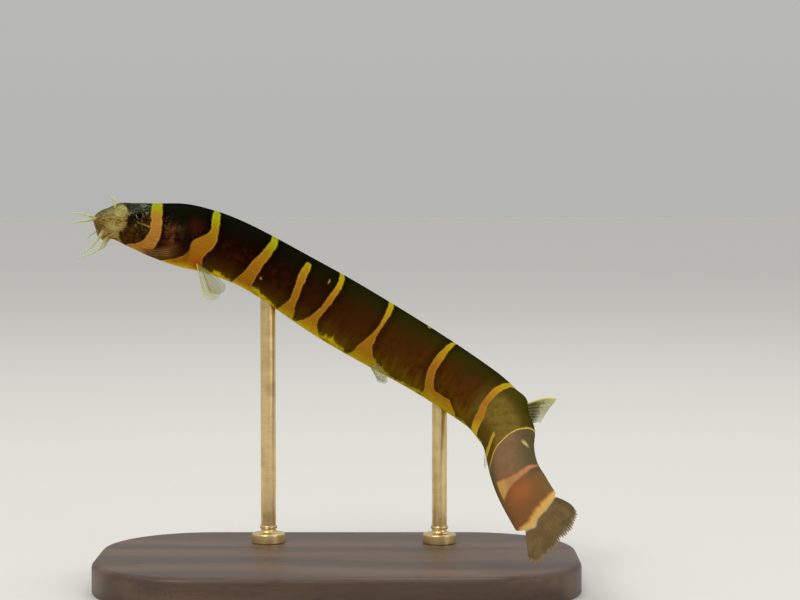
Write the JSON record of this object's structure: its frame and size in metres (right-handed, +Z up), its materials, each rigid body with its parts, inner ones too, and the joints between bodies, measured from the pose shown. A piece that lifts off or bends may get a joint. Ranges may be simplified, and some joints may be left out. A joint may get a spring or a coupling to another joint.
{
  "type": "kuhli loach",
  "caption": "Life-size banded eel-like loach swimming head up with its tail swung round, held on two rods over a flat base.",
  "frame": {"origin": "centre of the display base's flat underside", "axes": "+X along the base from the fish's head to its tail, +Y towards the fish's right flank, +Z up"},
  "size_m": [0.0664, 0.0411, 0.0502],
  "materials": {
    "skin": "wet, glossy fish skin, dark maroon brown with pale gold to salmon bands",
    "eye": "wet black pupil in a thin pale gold ring",
    "barbel": "pale straw, soft and partly see-through flesh",
    "fin": "thin pale straw membrane with fine rays",
    "tail_fin": "grey-brown membrane with rays and an orange-brown fringe",
    "stand_wood": "satin oiled walnut",
    "stand_metal": "brushed"
  },
  "bodies": {
    "root": {"head": "skin", "body_front": "skin", "body_middle": "skin", "body_rear": "skin", "tail": "skin", "eye_left": "eye", "eye_right": "eye", "barbel_rostral_left": "barbel", "barbel_rostral_right": "barbel", "barbel_lip_left": "barbel", "barbel_lip_right": "barbel", "barbel_jaw_left": "barbel", "barbel_jaw_right": "barbel", "barbel_nasal_left": "barbel", "barbel_nasal_right": "barbel", "pectoral_fin_left": "fin", "pectoral_fin_right": "fin", "pelvic_fin_left": "fin", "pelvic_fin_right": "fin", "dorsal_fin": "fin", "anal_fin": "fin", "caudal_fin": "tail_fin", "stand_base": "stand_wood", "stand_rod_front": "stand_metal", "stand_rod_rear": "stand_metal"}
  },
  "joints": []
}
